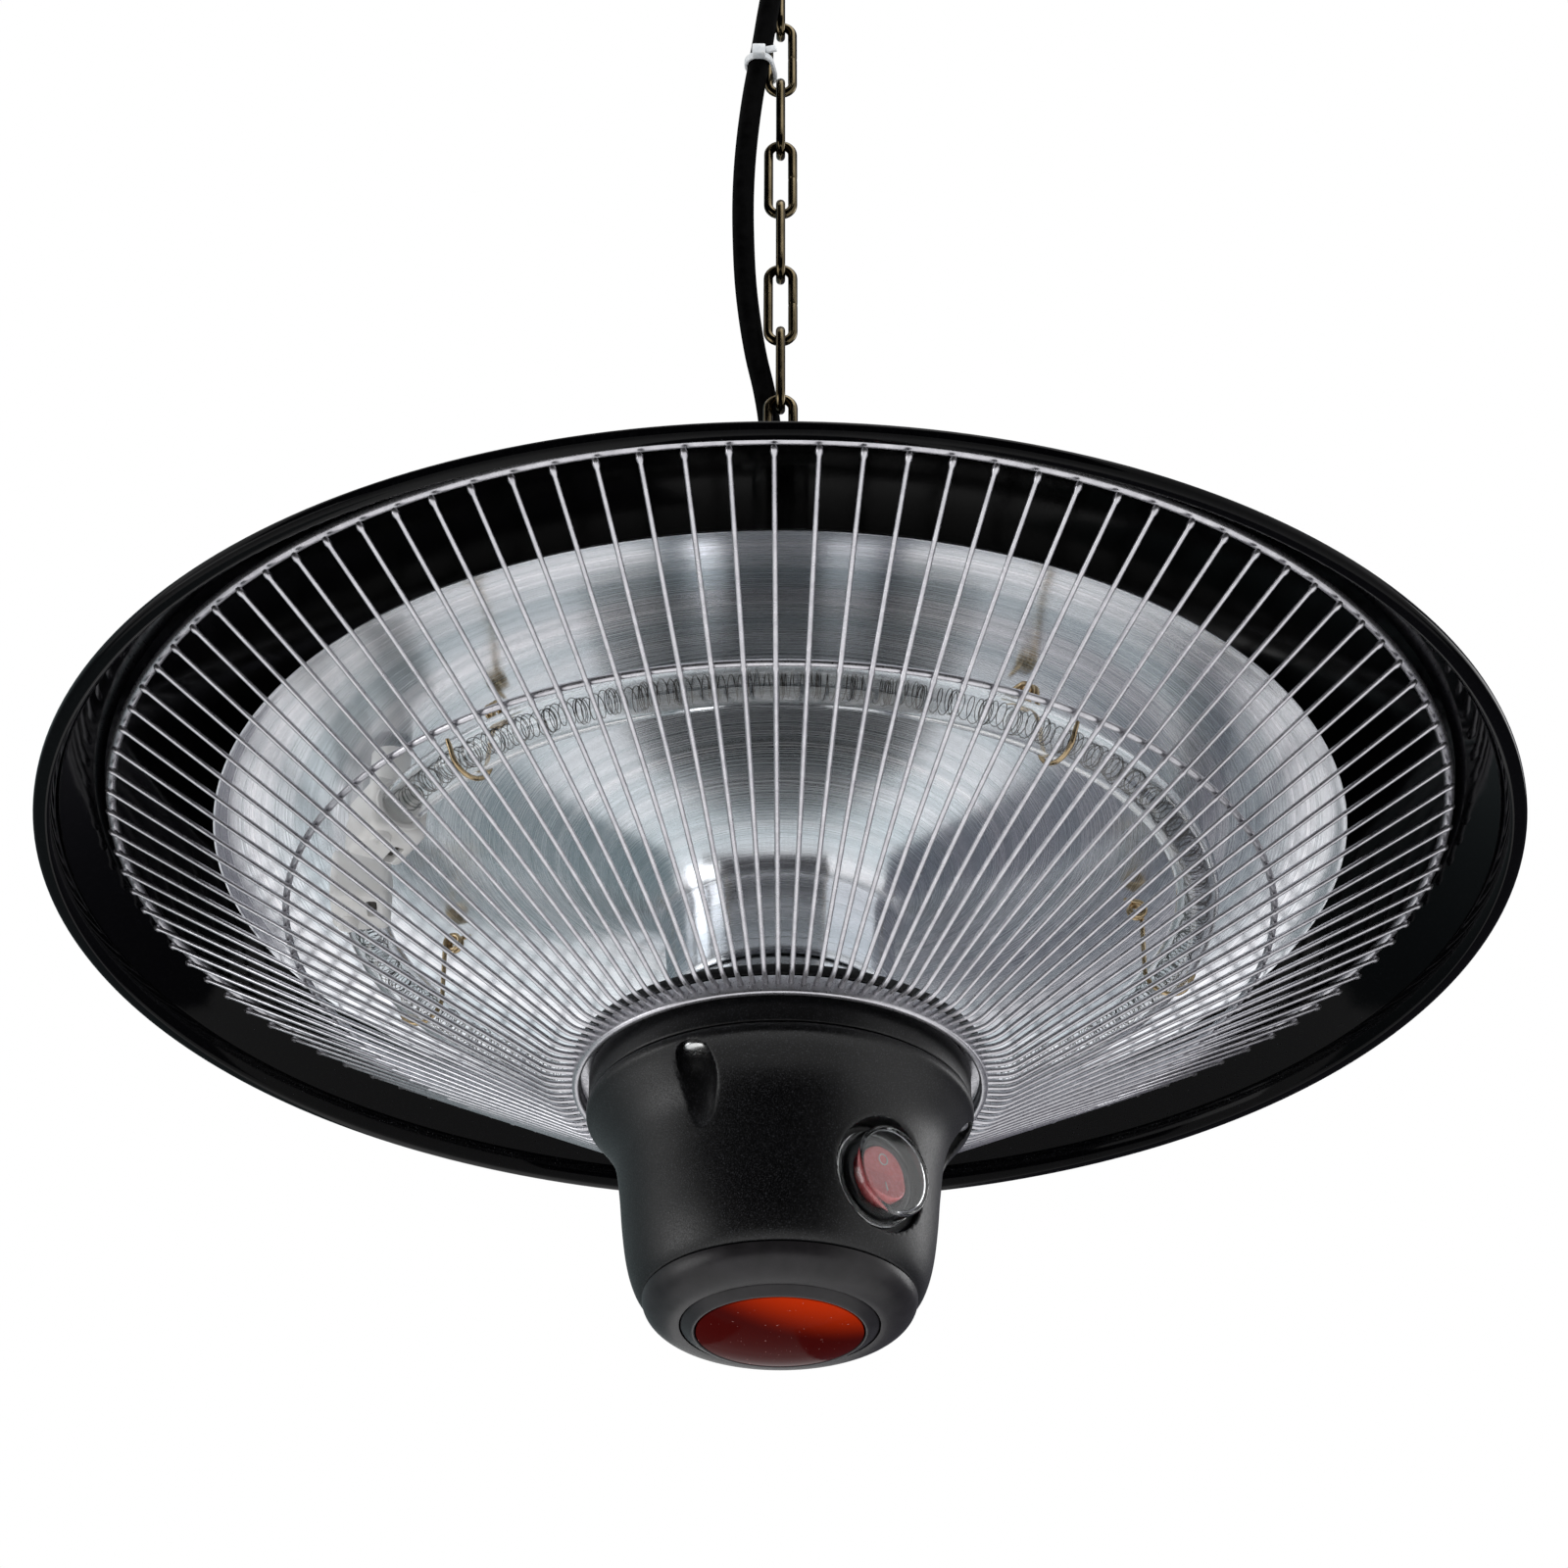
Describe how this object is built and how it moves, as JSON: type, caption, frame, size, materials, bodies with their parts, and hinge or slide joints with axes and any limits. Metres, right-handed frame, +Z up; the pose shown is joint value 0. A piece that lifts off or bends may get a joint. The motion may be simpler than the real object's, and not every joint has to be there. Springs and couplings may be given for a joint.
{
  "type": "hanging patio heater",
  "caption": "Hanging patio heater: a ring lamp under a bright reflector and a black shade, with a wire guard and a switch housing below, hung on a link chain, its cord coiled on top.",
  "frame": {"origin": "the inside top of the uppermost chain link, where the ceiling hook carries the heater", "axes": "+Z up along the hanging chain; -Y towards the viewer of the picture, +X to the viewer's right"},
  "size_m": [0.425, 0.425, 0.6092],
  "materials": {
    "chain_bronze": "bronze-plated wire, slightly dark",
    "shade_black": "high gloss black paint",
    "cap_black": "satin black",
    "cord_rubber": "satin black rubber",
    "plug_black": "moulded black rubber",
    "plated_steel": "zinc plated",
    "spun_aluminium": "spun bright, faint rings",
    "guard_silver": "silver lacquer",
    "quartz_glass": "clear quartz",
    "heating_wire": "fine dull wire",
    "lamp_ceramic": "white, matt",
    "clip_wire": "bronze spring wire",
    "housing_plastic": "black, fine grain",
    "lower_housing": "black, semi-gloss",
    "lens_red": "deep red, glossy",
    "rocker_red": "bright red",
    "cover_clear": "clear, flexible",
    "board_green": "green board",
    "tie_nylon": "white nylon"
  },
  "bodies": {
    "top": {"chain_link_01": "chain_bronze", "cord_rise": "cord_rubber", "cord_coil": "cord_rubber", "coil_tie": "tie_nylon", "plug_tie": "tie_nylon", "plug_lead": "cord_rubber", "plug_body": "plug_black", "plug_pin_a": "plated_steel", "plug_pin_b": "plated_steel"},
    "link_02": {"chain_link_02": "chain_bronze"},
    "link_03": {"chain_link_03": "chain_bronze"},
    "link_04": {"chain_link_04": "chain_bronze", "cord_tie": "tie_nylon"},
    "link_05": {"chain_link_05": "chain_bronze"},
    "link_06": {"chain_link_06": "chain_bronze"},
    "link_07": {"chain_link_07": "chain_bronze"},
    "link_08": {"chain_link_08": "chain_bronze"},
    "link_09": {"chain_link_09": "chain_bronze"},
    "link_10": {"chain_link_10": "chain_bronze"},
    "link_11": {"chain_link_11": "chain_bronze"},
    "heater": {"control_board": "board_green", "cord_gland": "cord_rubber", "eye_nut": "plated_steel", "guard_grille": "guard_silver", "guard_middle_ring": "guard_silver", "guard_outer_ring": "guard_silver", "hanging_eye": "plated_steel", "heating_coil": "heating_wire", "housing_base": "lower_housing", "housing_bell": "housing_plastic", "housing_collar": "housing_plastic", "housing_screw_1": "plated_steel", "housing_screw_2": "plated_steel", "housing_screw_3": "plated_steel", "hub_nut": "plated_steel", "infrared_receiver": "lens_red", "inner_cable": "cord_rubber", "insulating_plate": "housing_plastic", "lamp_clip_1": "clip_wire", "lamp_clip_2": "clip_wire", "lamp_clip_3": "clip_wire", "lamp_clip_4": "clip_wire", "lamp_holder_far": "lamp_ceramic", "lamp_holder_near": "lamp_ceramic", "lamp_tube": "quartz_glass", "lens_ring": "lower_housing", "neck_sleeve": "spun_aluminium", "receiver_lens": "lens_red", "reflector": "spun_aluminium", "reflector_nut": "plated_steel", "shade": "shade_black", "shade_nut": "plated_steel", "stem_tube": "plated_steel", "switch_body": "housing_plastic", "switch_cover": "cover_clear", "terminal_block": "tie_nylon", "top_cap": "cap_black"},
    "rocker": {"switch_rocker": "rocker_red"}
  },
  "joints": [
    {"name": "link_02_swing", "type": "hinge", "parent": "top", "child": "link_02", "pos_m": [0, 0, -0.0278], "axis": [0, 1, 0], "range_deg": [-15, 15], "deforming": ["cord_rise"]},
    {"name": "link_03_swing", "type": "hinge", "parent": "link_02", "child": "link_03", "pos_m": [0, 0, -0.0538], "axis": [1, 0, 0], "range_deg": [-15, 15]},
    {"name": "link_04_swing", "type": "hinge", "parent": "link_03", "child": "link_04", "pos_m": [0, 0, -0.0798], "axis": [0, -1, 0], "range_deg": [-15, 15]},
    {"name": "link_05_swing", "type": "hinge", "parent": "link_04", "child": "link_05", "pos_m": [0, 0, -0.1058], "axis": [-1, 0, 0], "range_deg": [-15, 15]},
    {"name": "link_06_swing", "type": "hinge", "parent": "link_05", "child": "link_06", "pos_m": [0, 0, -0.1318], "axis": [0, 1, 0], "range_deg": [-15, 15]},
    {"name": "link_07_swing", "type": "hinge", "parent": "link_06", "child": "link_07", "pos_m": [0, 0, -0.1578], "axis": [1, 0, 0], "range_deg": [-15, 15]},
    {"name": "link_08_swing", "type": "hinge", "parent": "link_07", "child": "link_08", "pos_m": [0, 0, -0.1838], "axis": [0, -1, 0], "range_deg": [-15, 15]},
    {"name": "link_09_swing", "type": "hinge", "parent": "link_08", "child": "link_09", "pos_m": [0, 0, -0.2098], "axis": [-1, 0, 0], "range_deg": [-15, 15]},
    {"name": "link_10_swing", "type": "hinge", "parent": "link_09", "child": "link_10", "pos_m": [0, 0, -0.2358], "axis": [0, 1, 0], "range_deg": [-15, 15]},
    {"name": "link_11_swing", "type": "hinge", "parent": "link_10", "child": "link_11", "pos_m": [0, 0, -0.2618], "axis": [1, 0, 0], "range_deg": [-15, 15]},
    {"name": "heater_swing", "type": "hinge", "parent": "link_11", "child": "heater", "pos_m": [0, 0, -0.2878], "axis": [0, -1, 0], "range_deg": [-25, 25]},
    {"name": "rocker_tilt", "type": "hinge", "parent": "heater", "child": "rocker", "pos_m": [0.02482, -0.02757, -0.51595], "axis": [0.7431, 0.6691, 0], "range_deg": [0, 16]}
  ]
}
